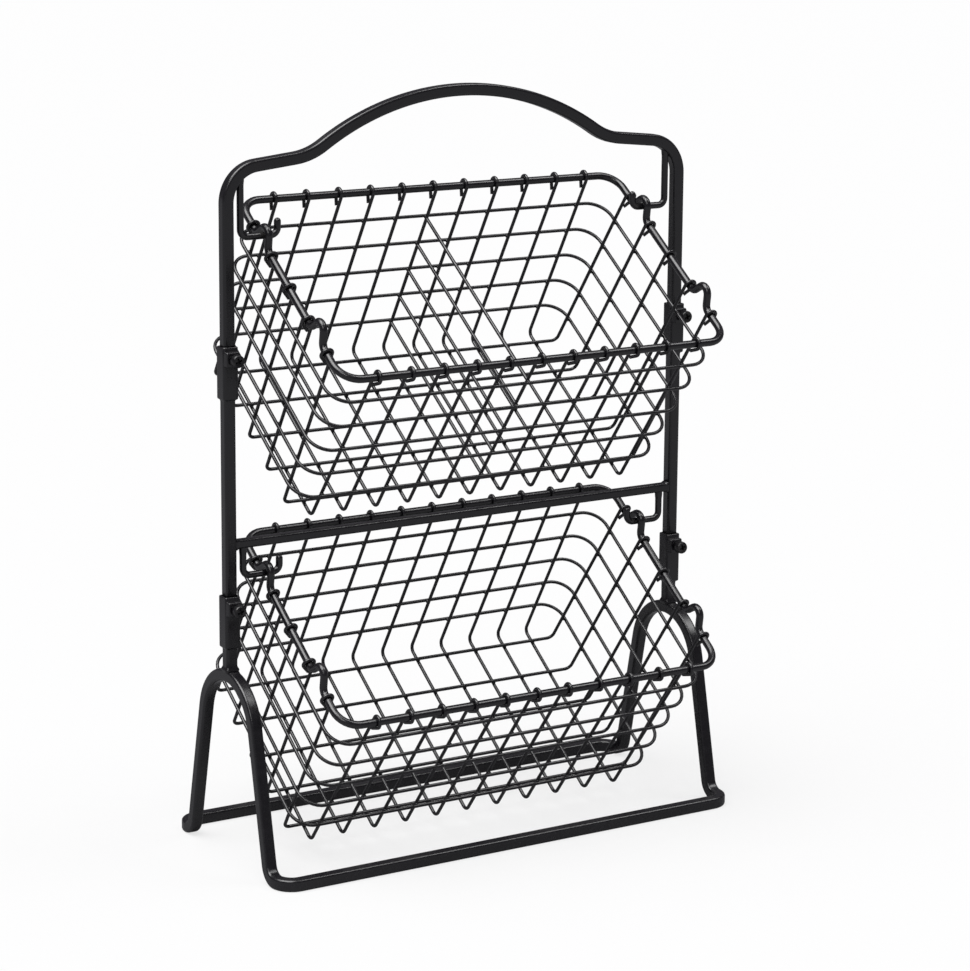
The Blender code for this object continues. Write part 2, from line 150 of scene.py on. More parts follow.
# Rub marks: how strong they are, and where they start and end in millimetres
ROD_RUB = 0.45
ROD_MARK = (1.4, 4.4)
TUBE_RUB = 0.35
FLOOR_MARK = (0.2, 1.2)
SLEEVE_RUB = 0.55
SLEEVE_MARK = (0.2, 1.6)
SLOT_RUB = 0.35
SLOT_MARK = 1.6

# Stage: soft lights as name, place, spread in degrees and strength, then the floor and the camera
LIGHTS = (("key_light", (-0.55, 0.0, 1.5), 52.0, 2.85),
          ("side_light", (0.9, -0.45, 1.5), 26.0, 0.6),
          ("front_light", (-0.9, -1.1, 1.0), 22.0, 0.30))
FLOOR_RADIUS = 60.0
FLOOR_SIDES = 96
FLOOR_ROUGHNESS = 0.9
FLOOR_SHEEN = 0.1
FLOOR_GLOW = 0.75
WHITE = (1.0, 1.0, 1.0, 1.0)
WHITE_STRENGTH = 0.99
SENSOR = 36.0
LENS = 115.436
LENS_SHIFT = -0.0825
CAMERA_TURN = math.radians(31.5132)
CAMERA_DIP = math.radians(11.407)
CAMERA_ROLL = math.radians(0.4468)
CAMERA_PLACE = (-0.91772, -1.52511, 0.61021)


def length(name, millimetres, description):
    """A size in the panel, given in millimetres."""
    return FloatProperty(name=name, description=description, default=millimetres * MM, min=0.0,
                         precision=5, unit="LENGTH")


def angle(name, degrees, description):
    """An angle in the panel, given in degrees."""
    return FloatProperty(name=name, description=description, default=math.radians(degrees),
                         subtype="ANGLE", unit="ROTATION")


def colour(name, value, description):
    """A linear colour in the panel."""
    return FloatVectorProperty(name=name, description=description, default=value, size=3, min=0.0,
                               max=1.0, subtype="COLOR")


def share(name, value, description):
    """A share from none to all in the panel."""
    return FloatProperty(name=name, description=description, default=value, min=0.0, max=1.0,
                         subtype="FACTOR")


def joint_height(name):
    """Height of a joint's axis in millimetres."""
    found = [joint for joint in frame["joints"] if joint["name"] == name]
    return found[0]["pos_m"][2] / MM


def top_of(node):
    """Highest point of a solid in millimetres."""
    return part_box(node)[1].z / MM


class StandFrameSizes(bpy.types.PropertyGroup):
    """Sizes of the tube frame, its sleeves, screws and hooks."""

    tube: length("Tube", 7.0, "Square tube across its flats")
    tube_round: length("Tube rounding", 1.5, "Radius of the tube's edges")
    post_x: length("Post", 151.0, "Distance of a post's axis from the middle")
    shoulder_z: length("Shoulder height", 397.6, "Where the axes of leg and shoulder would cross")
    shoulder_slope: angle("Shoulder slope", 6.0, "Rise of the shoulders towards the handle")
    shoulder_bend: length("Shoulder bend", 20.5, "Axis radius of the bend from leg to shoulder")
    handle_radius: length("Handle radius", 165.0, "Axis radius of the carrying handle")
    handle_ease: length("Handle ease", 40.0, "Reverse bend from shoulder to handle")
    handle_top: length("Handle top", top_of("top_frame"), "Highest point of the handle")
    crossbar: length("Crossbar", 5.4, "Crossbar across its flats")
    crossbar_z: length("Crossbar height", 185.8, "Axis of the crossbar")
    foot_y: length("Floor bar", 65.0, "Distance of a floor bar from the posts' plane")
    foot_corner: length("Foot corner", 10.0, "Bend from a foot into its floor bar")
    foot_bend: length("Foot bend", 9.0, "Bend from a leg into its foot")
    arch_top: length("Arch top", 113.0, "Highest point of the arched side legs")
    arch_radius: length("Arch radius", 31.0, "Axis radius of the arch")
    leg_splay: angle("Leg splay", 12.3, "Lean of the side legs")
    sleeve: length("Sleeve", 9.4, "Socket sleeve across its flats")
    sleeve_round: length("Sleeve rounding", 1.3, "Radius of the sleeve's edges")
    sleeve_length: length("Sleeve length", 30.0, "Length of a socket sleeve")
    socket: length("Socket", 7.6, "Bore of a socket sleeve across its flats")
    socket_depth: length("Socket depth", 25.0, "How far a tube plugs into a sleeve")
    upper_sleeve_top: length("Upper sleeve", top_of("middle_post_left"), "Rim of the upper sleeves")
    lower_sleeve_top: length("Lower sleeve", top_of("base_post_left"), "Rim of the lower sleeves")
    boss: length("Boss", 8.4, "Threaded boss across its flats")
    boss_round: length("Boss rounding", 0.9, "Radius of the boss's edges")
    boss_height: length("Boss height", 3.0, "How far the boss stands out from its sleeve")
    screw_drop: length("Screw drop", 6.6, "Depth of a screw's axis below the sleeve's rim")
    screw_shank: length("Screw shank", 3.2, "Diameter of a screw's shank")
    screw_neck: length("Screw neck", 5.2, "Diameter of the collar behind a screw's head")
    screw_neck_length: length("Screw neck length", 2.6, "How far the collar holds the head off the boss")
    screw_head: length("Screw head", 7.4, "Diameter of a screw's head")
    screw_head_height: length("Screw head height", 4.2, "Height of a screw's head")
    hook_rod: length("Hook rod", 4.0, "Diameter of a hook's rod")
    hook_x: length("Hook drop", 142.3, "Distance of a hook's drop from the middle")
    hook_tip_x: length("Hook tip", 119.2, "Distance of a hook's tip from the middle")
    hook_tip_rise: length("Hook tip rise", 9.5, "Height of a hook's tip above its rod")
    hook_bend: length("Hook bend", 4.2, "Axis radius of a hook's bends")
    hook_weld: length("Hook weld", 6.0, "Length of the weld at a hook's upper end")
    upper_hook_sink: length("Upper hook sink", 3.4, "Depth of an upper hook's end below the shoulder")
    lower_hook_sink: length("Lower hook sink", 2.0, "Depth of a lower hook's end in the crossbar")
    upper_rod_z: length("Upper rod", joint_height("upper_basket_swing"), "Rod of the upper basket")
    lower_rod_z: length("Lower rod", joint_height("lower_basket_swing"), "Rod of the lower basket")
    clearance: length("Clearance", 0.3, "Play between two pieces that touch")


class StandBasketSizes(bpy.types.PropertyGroup):
    """Sizes of the two wire baskets."""

    rim_wire: length("Rim wire", 4.5, "Diameter of the rim wire")
    mesh_wire: length("Mesh wire", 2.05, "Diameter of the mesh wires")
    half_width: length("Half width", 127.0, "Distance of the side rims from the middle")
    rim_length: length("Rim length", 146.0, "From the back rim to the front rim")
    rim_corner: length("Rim corner", 12.5, "Axis radius of the rim's corners")
    depth: length("Depth", 120.0, "From the rim down to the bottom wires")
    end_taper: length("End taper", 7.0, "Lean of the front and back walls")
    side_taper: length("Side taper", 5.0, "Lean of the side walls")
    bottom_bend: length("Bottom bend", 4.0, "Bend from wall to bottom")
    wrap_radius: length("Wrap radius", 3.32, "Axis radius of a mesh wire's wrap round the rim")
    wrap_tail: length("Wrap tail", 6.5, "Straight end beyond the wrap")
    wrap_turn: angle("Wrap turn", 220.0, "How far a mesh wire wraps round the rim")
    wire_step: length("Wire step", 2.3, "Distance between the axes of two crossing wires")
    cross_pitch: length("Cross pitch", 21.0, "Spacing of the cross wires")
    long_pitch: length("Long pitch", 26.0, "Spacing of the long wires")
    loop_pitch: length("Loop pitch", 20.0, "Spacing of the wall loops")
    loop_corner: length("Loop corner", 13.0, "Axis radius of the wall loops' corners")
    rear_notch: length("Rear notch", 26.8, "Start of the rear notch along the side rim")
    front_notch: length("Front notch", 103.8, "Start of the front notch along the side rim")
    notch_half: length("Notch half", 7.8, "Half the length of a notch")
    notch_rise: length("Notch rise", 15.3, "Height of a notch's unrounded peak")
    notch_bend: length("Notch bend", 4.6, "Bend at a notch's peak")
    notch_ease: length("Notch ease", 5.0, "Bends at a notch's feet")
    upper_tilt: angle("Upper tilt", 34.6, "Forward tilt of the upper basket at rest")
    lower_tilt: angle("Lower tilt", 35.2, "Forward tilt of the lower basket at rest")
    weld_height: length("Weld height", 0.75, "Half height of a spot weld")
    weld_width: length("Weld width", 1.2, "Half width of a spot weld")


class StandFinishes(bpy.types.PropertyGroup):
    """Colours and gloss of the coat, the hardware and the stage."""

    coat: colour("Coat", (0.0052, 0.0047, 0.0064), "Satin black powder coat")
    coat_light: colour("Coat, light", (0.0102, 0.0093, 0.0122), "Paler cloud in the coat")
    dust: colour("Dust", (0.090, 0.088, 0.084), "Fine dust on upper faces")
    bare: colour("Bare steel", (0.150, 0.145, 0.140), "Steel where the coat is rubbed thin")
    hardware: colour("Hardware", (0.012, 0.012, 0.013), "Blackened screws")
    floor: colour("Floor", (0.18, 0.18, 0.19), "Plain pale floor, as it lights the stand")
    floor_seen: colour("Floor, seen", (0.90, 0.90, 0.90), "Plain pale floor, as the camera sees it")
    surround: colour("Surround", (0.055, 0.051, 0.062), "Plain soft light from all round")
    mirrored: share("Mirrored", 0.04, "How much of the white background the coat mirrors")
    sheen: share("Sheen", 0.97, "Mirror strength of the coat")
    gloss: share("Roughness", 0.26, "Mean roughness of the coat")
    dusting: share("Dusting", 0.16, "Most of the dust on an upper face")
    peel: share("Orange peel", 0.08, "Strength of the coat's fine relief")
    peel_depth: length("Orange peel depth", 0.5, "Depth of the coat's fine relief")
    hardware_gloss: share("Screw roughness", 0.30, "Mean roughness of the screws")


def frame_sizes():
    return bpy.context.scene.stand_frame


def basket_sizes():
    return bpy.context.scene.stand_basket


def finishes():
    return bpy.context.scene.stand_finishes


class Term:
    """A shader value: arithmetic on it adds Math nodes."""

    def __init__(self, sheet, socket):
        self.sheet = sheet
        self.socket = socket

    def math(self, operation, first, second):
        return self.sheet.add("ShaderNodeMath", {"operation": operation}, {0: first, 1: second})

    def __add__(self, other):
        return self.math("ADD", self, other)

    def __radd__(self, other):
        return self.math("ADD", other, self)

    def __sub__(self, other):
        return self.math("SUBTRACT", self, other)

    def __rsub__(self, other):
        return self.math("SUBTRACT", other, self)

    def __mul__(self, other):
        return self.math("MULTIPLY", self, other)

    def __rmul__(self, other):
        return self.math("MULTIPLY", other, self)


class Sheet:
    """The node sheet of one material or world."""

    def __init__(self, owner):
        owner.use_nodes = True
        self.nodes = owner.node_tree.nodes
        self.links = owner.node_tree.links

    def feed(self, socket, value):
        if isinstance(value, Term):
            self.links.new(value.socket, socket)
        else:
            socket.default_value = value

    def add(self, kind, settings=None, sockets=None, output=0):
        """Any node: its settings first, then the values or links of its sockets."""
        node = self.nodes.new(kind)
        for key, value in (settings or {}).items():
            setattr(node, key, value)
        for key, value in (sockets or {}).items():
            self.feed(node.inputs[key], value)
        return Term(self, node.outputs[output])

    def noise(self, place, scale, detail, roughness):
        return self.add("ShaderNodeTexNoise", None, {"Vector": place, "Scale": scale, "Detail": detail,
                                                     "Roughness": roughness})

    def vector(self, operation, first, second):
        return self.add("ShaderNodeVectorMath", {"operation": operation}, {0: first, 1: second})

    def axis(self, vector, letter):
        return self.add("ShaderNodeSeparateXYZ", None, {0: vector}, output=letter)

    def ramp(self, value, low, high):
        """Smooth step from 0 at low to 1 at high."""
        return self.add("ShaderNodeMapRange", {"interpolation_type": "SMOOTHSTEP"},
                        {"Value": value, "From Min": low, "From Max": high})

    def blend(self, factor, first, second):
        """Mix of two colours."""
        return self.add("ShaderNodeMix", {"data_type": "RGBA"},
                        {"Factor": factor, 6: first, 7: second}, output=2)


def solid(value):
    """A colour with full alpha."""
    return (*value, 1.0)


def coat_finish(name, base, light, roughness, metallic, rubbed):
    """Powder coat: clouded tone, fine orange peel, dust on upper faces and thin rub marks."""
    material = bpy.data.materials.new(name)
    sheet = Sheet(material)
    shader = sheet.nodes["Principled BSDF"]
    look = finishes()
    shader.inputs["Specular IOR Level"].default_value = look.sheen
    place = sheet.add("ShaderNodeTexCoord", output="Object")
    normal = sheet.add("ShaderNodeNewGeometry", output="Normal")
    cloud = sheet.noise(place, *CLOUD)
    mottle = sheet.noise(place, *MOTTLE)
    peel = sheet.noise(place, *PEEL)
    grain = sheet.noise(place, *GRAIN)
    tone = cloud * CLOUD_SHARE + mottle * (1 - CLOUD_SHARE)
    upward = sheet.ramp(sheet.axis(normal, "Z"), *DUST_SLOPE)
    dusty = upward * sheet.ramp(cloud, *DUST_RANGE) * look.dusting
    skin = sheet.blend(sheet.ramp(tone, *TONE_RANGE), solid(base), solid(light))
    skin = sheet.blend(dusty, skin, solid(look.dust))
    wear = rubbed(sheet, place) * sheet.ramp(mottle, *WEAR_RANGE)
    sheet.feed(shader.inputs["Base Color"], sheet.blend(wear, skin, solid(look.bare)))
    sheet.feed(shader.inputs["Metallic"], wear * (BARE_METAL - metallic) + metallic)
    uneven = (mottle - 0.5) * MOTTLE_GLOSS + (grain - 0.5) * GRAIN_GLOSS
    gloss = uneven + dusty * DUST_GLOSS + roughness
    sheet.feed(shader.inputs["Roughness"], gloss - wear * WEAR_GLOSS)
    height = peel * PEEL_SHARE + grain * (1 - PEEL_SHARE)
    bump = sheet.add("ShaderNodeBump", None,
                     {"Strength": look.peel, "Distance": look.peel_depth, "Height": height})
    sheet.feed(shader.inputs["Normal"], bump)
    return material


def rod_rub(sheet, place):
    """Rub marks where the rims sit on the hook rods."""
    sizes = frame_sizes()
    start, end = (reach * MM for reach in ROD_MARK)
    marks = []
    for rod_z in (sizes.upper_rod_z, sizes.lower_rod_z):
        offset = sheet.vector("SUBTRACT", place, (0.0, 0.0, rod_z))
        flat = sheet.vector("MULTIPLY", offset, (0.0, 1.0, 1.0))
        away = sheet.add("ShaderNodeVectorMath", {"operation": "LENGTH"}, {0: flat}, output="Value")
        marks.append(1 - sheet.ramp(away, start, end))
    return (marks[0] + marks[1]) * ROD_RUB


def tube_rub(sheet, place):
    """Scuffs where the tubes slide into the sleeves and where the floor bars stand."""
    sizes = frame_sizes()
    high = sheet.axis(place, "Z")
    marks = 1 - sheet.ramp(high, *(reach * MM for reach in FLOOR_MARK))
    for rim in (sizes.upper_sleeve_top, sizes.lower_sleeve_top):
        off = sheet.add("ShaderNodeMath", {"operation": "ABSOLUTE"}, {0: high - rim})
        marks = marks + (1 - sheet.ramp(off, *(reach * MM for reach in SLEEVE_MARK))) * SLEEVE_RUB
    return marks * TUBE_RUB


def slot_rub(sheet, place):
    """Bright marks where a driver has turned the screws."""
    sizes = frame_sizes()
    face = -(sizes.sleeve / 2 + sizes.boss_height + sizes.screw_neck_length + sizes.screw_head_height)
    return (1 - sheet.ramp(sheet.axis(place, "Y"), face, face + SLOT_MARK * MM)) * SLOT_RUB


def finish(slot):
    """The material of a record slot, made once."""
    name = slot + "_finish"
    if name in bpy.data.materials:
        return bpy.data.materials[name]
    look = finishes()
    if slot == "tube_coat":
        return coat_finish(name, look.coat, look.coat_light, look.gloss, 0.0, tube_rub)
    if slot == "wire_coat":
        return coat_finish(name, look.coat, look.coat_light, look.gloss - WIRE_GLOSS, 0.0, rod_rub)
    return coat_finish(name, look.hardware, look.coat_light, look.hardware_gloss, HARDWARE_METAL,
                       slot_rub)


def add_piece(name, shape, slot, body, *nodes):
    """A finished piece from a mesh in the making, riding on its body in place of its solids."""
    data = bpy.data.meshes.new(name)
    bmesh.ops.recalc_face_normals(shape, faces=shape.faces)
    shape.to_mesh(data)
    shape.free()
    data.polygons.foreach_set("use_smooth", [True] * len(data.polygons))
    data.set_sharp_from_angle(angle=SHARP)
    data.materials.append(finish(slot))
    piece = bpy.data.objects.new(name, data)
    bpy.context.scene.collection.objects.link(piece)
    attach(piece, body)
    if nodes:
        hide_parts(*nodes)
    return piece


def bent(corners, closed=False, steps=BEND_STEPS):
    """Path through (point, bend radius) corners, with each bend drawn as an arc."""
    path = []
    count = len(corners)
    for index, (corner, radius) in enumerate(corners):
        corner = Vector(corner)
        if radius == 0 or not closed and index in (0, count - 1):
            path.append(corner)
            continue
        before = (Vector(corners[index - 1][0]) - corner).normalized()
        after = (Vector(corners[(index + 1) % count][0]) - corner).normalized()
        half = before.angle(after) / 2
        centre = corner + (before + after).normalized() * (radius / math.sin(half))
        start = corner + before * (radius / math.tan(half)) - centre
        axis = before.cross(after).normalized()
        turn = 2 * half - math.pi
        for step in range(steps + 1):
            path.append(centre + Matrix.Rotation(turn * step / steps, 3, axis) @ start)
    return path


def arc(centre, radius, start, end, steps=ARC_STEPS):
    """Points of an arc in the (first, second) plane, ends included."""
    points = []
    for step in range(steps + 1):
        turn = start + (end - start) * step / steps
        points.append((centre[0] + radius * math.cos(turn), centre[1] + radius * math.sin(turn)))
    return points


def circle(diameter, sides):
    return arc((0.0, 0.0), diameter / 2, 0.0, 2 * math.pi, sides)[:-1]


def square(width, rounding):
    """Square section with rounded edges and a point held on each flat beside them."""
    flat = width / 2 - rounding
    hold = flat * FLAT_HOLD
    outline = []
    for quarter in range(4):
        turn = Matrix.Rotation(quarter * math.pi / 2, 2)
        corner = arc((flat, flat), rounding, 0.0, math.pi / 2, CORNER_STEPS)
        run = [(width / 2, hold)] + corner + [(hold, width / 2)]
        outline += [tuple(turn @ Vector(point)) for point in run]
    return outline


def loft(shape, rings, closed=False):
    """Skin over rings of points, with both ends capped unless the run is closed."""
    made = [[shape.verts.new(point) for point in ring] for ring in rings]
    count = len(made[0])
    following = made[1:] + made[:1] if closed else made[1:]
    for ring, after in zip(made, following):
        for index in range(count):
            near = (index + 1) % count
            shape.faces.new((ring[index], ring[near], after[near], after[index]))
    if not closed:
        shape.faces.new(list(reversed(made[0])))
        shape.faces.new(made[-1])


def sweep(shape, path, outline, closed=False, side=(0.0, 1.0, 0.0), swell=None):
    """Section carried along a path without twist; swell gives its size at each point."""
    count = len(path)
    tangents = []
    for index in range(count):
        before = path[index - 1] if closed or index else path[index]
        after = path[(index + 1) % count] if closed or index < count - 1 else path[index]
        tangents.append((after - before).normalized())
    normal = Vector(side)
    rings = []
    for index, (spot, tangent) in enumerate(zip(path, tangents)):
        if index:
            normal = tangents[index - 1].rotation_difference(tangent) @ normal
        normal = (normal - tangent * normal.dot(tangent)).normalized()
        across = tangent.cross(normal)
        size = swell[index] if swell else 1.0
        rings.append([spot + (normal * first + across * second) * size for first, second in outline])
    loft(shape, rings, closed)


def stepped(steps, start, size=1.0):
    """(size, place) stations from steps of (share, millimetres from the start)."""
    return [(size * part, start + out * MM) for part, out in steps]


def rings_of(outline, stations):
    """Rings about the local Z axis: an outline at each (size, height) station."""
    return [[Vector((size * x, size * y, height)) for x, y in outline] for size, height in stations]


def tapered_tip(path, swell, radius):
    """Rounds off the far end of a rod by adding points of falling size."""
    ahead = (path[-1] - path[-2]).normalized()
    shoulder = path[-1] - ahead * radius
    path[-1] = shoulder
    for step in range(1, TIP_STEPS + 1):
        turn = TIP_TURN * step / TIP_STEPS
        path.append(shoulder + ahead * radius * math.sin(turn))
        swell.append(math.cos(turn))


def basket_place(tier):
    """Frame of a basket at rest, from its hook rod."""
    rod_z = getattr(frame_sizes(), tier + "_rod_z")
    tilt = getattr(basket_sizes(), tier + "_tilt")
    return Matrix.Translation((0.0, 0.0, rod_z)) @ Matrix.Rotation(tilt, 4, "X")


def basket_point(tier, across, along, up):
    """Point of a basket, from the rim's own measures: along runs from the back rim forward."""
    sizes = basket_sizes()
    peak = math.atan2(sizes.notch_half, sizes.notch_rise)
    rod_along = sizes.rear_notch + sizes.notch_half
    rod_up = sizes.notch_rise - sizes.notch_bend / math.sin(peak)
    return basket_place(tier) @ Vector((across, rod_along - along, up - rod_up))


def wall_inset(taper, depth):
    """How far a wall wire stands inside the rim's axis at this depth."""
    return basket_sizes().wrap_radius + taper * depth / basket_sizes().depth


def u_wire(half_span, taper, depth):
    """Wire that wraps both rims, runs down both walls and across the bottom, as (across, up)."""
    sizes = basket_sizes()
    last = math.pi - sizes.wrap_turn
    wrap = arc((half_span, 0.0), sizes.wrap_radius, math.pi, last, WRAP_STEPS)
    tail = (wrap[-1][0] + sizes.wrap_tail * math.sin(last),
            wrap[-1][1] - sizes.wrap_tail * math.cos(last))
    low = half_span - wall_inset(taper, depth)
    bottom = bent([((*wrap[0], 0.0), 0.0), ((low, -depth, 0.0), sizes.bottom_bend),
                   ((-low, -depth, 0.0), 0.0)])
    half = [tail] + list(reversed(wrap)) + [(spot.x, spot.y) for spot in bottom[1:-1]]
    return half + [(-across, up) for across, up in reversed(half)]


def cross_offset(index):
    return (index - MIDDLE_WIRE) * basket_sizes().cross_pitch


def long_offset(index):
    sizes = basket_sizes()
    return sizes.rim_length / 2 + (index - (LONG_WIRES + 1) / 2) * sizes.long_pitch


class STAND_OT_base_loop(bpy.types.Operator):
    """Bend the closed base tube: floor bars, turned-out feet and arched side legs"""

    bl_idname = "stand.base_loop"
    bl_label = "Base loop"

    def execute(self, context):
        sizes = frame_sizes()
        level = sizes.tube / 2
        arch_centre = sizes.arch_top - sizes.tube / 2 - sizes.arch_radius
        leg_top_y = sizes.arch_radius * math.cos(sizes.leg_splay)
        leg_top_z = arch_centre + sizes.arch_radius * math.sin(sizes.leg_splay)
        leg_foot_y = leg_top_y + (leg_top_z - level) * math.tan(sizes.leg_splay)
        arch = arc((0.0, arch_centre), sizes.arch_radius, math.pi - sizes.leg_splay, sizes.leg_splay)
        path = []
        for _, side in SIDES:
            corners = [((0.0, -side * sizes.foot_y, level), 0.0),
                       ((side * sizes.post_x, -side * sizes.foot_y, level), sizes.foot_corner),
                       ((side * sizes.post_x, -side * leg_foot_y, level), sizes.foot_bend),
                       ((side * sizes.post_x, -side * leg_top_y, leg_top_z), 0.0)]
            down = bent(corners)
            over = [Vector((side * sizes.post_x, side * along, up)) for along, up in arch]
            back = [Vector((spot.x, -spot.y, spot.z)) for spot in reversed(down)]
            path += down[:-1] + over + back[1:-1]
        shape = bmesh.new()
        sweep(shape, path, square(sizes.tube, sizes.tube_round), closed=True, side=(0.0, 0.0, 1.0))
        add_piece("base_loop_tube", shape, "tube_coat", "base", "base_loop")
        return {"FINISHED"}


class STAND_OT_posts(bpy.types.Operator):
    """Weld up the sleeved posts with their threaded bosses"""

    bl_idname = "stand.posts"
    bl_label = "Posts and sleeves"

    def execute(self, context):
        sizes = frame_sizes()
        arch_foot = sizes.arch_top - BEAD_SINK * MM
        plug_foot = sizes.lower_sleeve_top - sizes.socket_depth
        for name, side in SIDES:
            place = Matrix.Translation((side * sizes.post_x, 0.0, 0.0))
            bead = self.foot(arch_foot, POST_BEAD)
            self.post(f"base_post_{name}", "base", place, bead, sizes.lower_sleeve_top)
            plug = self.foot(plug_foot, PLUG_END)
            self.post(f"middle_post_{name}", "middle_section", place, plug, sizes.upper_sleeve_top)
        return {"FINISHED"}

    def foot(self, height, growth):
        """Lower end of a post, with the tube grown or shrunk at each station."""
        return [(1 + grow * MM / frame_sizes().tube, height + up * MM) for up, grow in growth]

    def post(self, node, body, place, foot, sleeve_top):
        sizes = frame_sizes()
        sleeve_foot = sleeve_top - sizes.sleeve_length
        socket_foot = sleeve_top - sizes.socket_depth - sizes.clearance
        tube = square(sizes.tube, sizes.tube_round)
        outer = square(sizes.sleeve, sizes.sleeve_round)
        bore = square(sizes.socket, sizes.tube_round)
        rings = rings_of(tube, foot + stepped(SLEEVE_WELD, sleeve_foot))
        rings += rings_of(outer, stepped(SLEEVE_FOOT, sleeve_foot) + stepped(SLEEVE_RIM, sleeve_top))
        rings += rings_of(bore, stepped(SOCKET_RIM, sleeve_top) + [(1.0, socket_foot)])
        shape = bmesh.new()
        loft(shape, [[place @ spot for spot in ring] for ring in rings])
        add_piece(node + "_tube", shape, "tube_coat", body, node)
        self.threaded_boss(node, body, place, sleeve_top - sizes.screw_drop)

    def threaded_boss(self, node, body, place, height):
        sizes = frame_sizes()
        block = square(sizes.boss, sizes.boss_round)
        bore = circle(sizes.screw_shank + 2 * sizes.clearance, len(block))
        wall = sizes.sleeve / 2
        face = wall + sizes.boss_height
        outside = rings_of(block, stepped(BOSS_WELD, wall) + stepped(BOSS_FACE, face))
        inside = rings_of(bore, stepped(BOSS_MOUTH, face) + stepped(BOSS_END, wall))
        in_step = Matrix.Rotation(math.atan2(block[0][1], block[0][0]), 4, "Z")
        rings = outside + [[in_step @ spot for spot in ring] for ring in inside]
        forward = place @ Matrix.Translation((0.0, 0.0, height)) @ Matrix.Rotation(math.pi / 2, 4, "X")
        shape = bmesh.new()
        loft(shape, [[forward @ spot for spot in ring] for ring in rings])
        add_piece(node + "_boss", shape, "tube_coat", body)


class STAND_OT_crossbar(bpy.types.Operator):
    """Weld the crossbar between the middle posts"""

    bl_idname = "stand.crossbar"
    bl_label = "Crossbar"

    def execute(self, context):
        sizes = frame_sizes()
        face = sizes.post_x - sizes.tube / 2
        half = stepped(CROSSBAR_WELD, face)
        run = half + [(size, -across) for size, across in reversed(half)]
        path = [Vector((across, 0.0, sizes.crossbar_z)) for _, across in run]
        shape = bmesh.new()
        sweep(shape, path, square(sizes.crossbar, sizes.tube_round), swell=[size for size, _ in run])
        add_piece("crossbar_bar", shape, "tube_coat", "middle_section", "crossbar")
        return {"FINISHED"}


class STAND_OT_top_frame(bpy.types.Operator):
    """Bend the upper legs, shoulders and carrying handle from one tube"""

    bl_idname = "stand.top_frame"
    bl_label = "Top frame"

    def execute(self, context):
        sizes = frame_sizes()
        slope = sizes.shoulder_slope
        handle_centre = Vector((0.0, sizes.handle_top - sizes.tube / 2 - sizes.handle_radius))
        inward = Vector((-math.cos(slope), math.sin(slope)))
        over = Vector((math.sin(slope), math.cos(slope)))
        from_handle = Vector((sizes.post_x, sizes.shoulder_z)) + over * sizes.handle_ease - handle_centre
        back = from_handle.dot(inward)
        spare = from_handle.length_squared - (sizes.handle_radius + sizes.handle_ease) ** 2
        ease = from_handle + inward * (-back - math.sqrt(back ** 2 - spare))
        meet = math.atan2(ease.y, ease.x)
        leg_end = sizes.upper_sleeve_top - sizes.socket_depth
        square_on = math.pi / 2 - slope
        bend = (sizes.post_x - sizes.shoulder_bend,
                sizes.shoulder_z - sizes.shoulder_bend * math.tan(square_on / 2))
        half = [(sizes.post_x, up) for _, up in stepped(LEG_END, leg_end)]
        half += arc(bend, sizes.shoulder_bend, 0.0, square_on, 2 * BEND_STEPS)
        half += arc(handle_centre + ease, sizes.handle_ease, square_on - math.pi, meet - math.pi,
                    BEND_STEPS)
        half += arc(handle_centre, sizes.handle_radius, meet, math.pi / 2)[1:]
        run = half + [(-across, up) for across, up in reversed(half[:-1])]
        path = [Vector((across, 0.0, up)) for across, up in run]
        swell = [1.0] * len(path)
        swell[0] = swell[-1] = LEG_END[0][0]
        shape = bmesh.new()
        sweep(shape, path, square(sizes.tube, sizes.tube_round), swell=swell)
        add_piece("top_frame_tube", shape, "tube_coat", "top_section", "top_frame")
        return {"FINISHED"}


class STAND_OT_hooks(bpy.types.Operator):
    """Bend and weld the four hooks that carry the baskets"""

    bl_idname = "stand.hooks"
    bl_label = "Hooks"

    def execute(self, context):
        sizes = frame_sizes()
        tops = {"upper": (sizes.shoulder_z - sizes.upper_hook_sink, sizes.upper_rod_z, "top_section"),
                "lower": (sizes.crossbar_z - sizes.lower_hook_sink, sizes.lower_rod_z, "middle_section")}
        for tier, (top, rod_z, body) in tops.items():
            for name, side in SIDES:
                self.hook(f"{tier}_hook_{name}", side, top, rod_z, body)
        return {"FINISHED"}

    def hook(self, node, side, top, rod_z, body):
        sizes = frame_sizes()
        drop = side * sizes.hook_x
        tip = side * sizes.hook_tip_x
        weld = stepped(HOOK_WELD, top)
        path = [Vector((drop, 0.0, up)) for _, up in weld]
        swell = [size for size, _ in weld]
        corners = [((drop, 0.0, top - sizes.hook_weld), 0.0), ((drop, 0.0, rod_z), sizes.hook_bend),
                   ((tip, 0.0, rod_z), sizes.hook_bend), ((tip, 0.0, rod_z + sizes.hook_tip_rise), 0.0)]
        path += bent(corners)
        swell += [1.0] * (len(path) - len(swell))
        tapered_tip(path, swell, sizes.hook_rod / 2)
        shape = bmesh.new()
        sweep(shape, path, circle(sizes.hook_rod, RIM_SIDES), swell=swell)
        add_piece(node + "_rod", shape, "wire_coat", body, node)


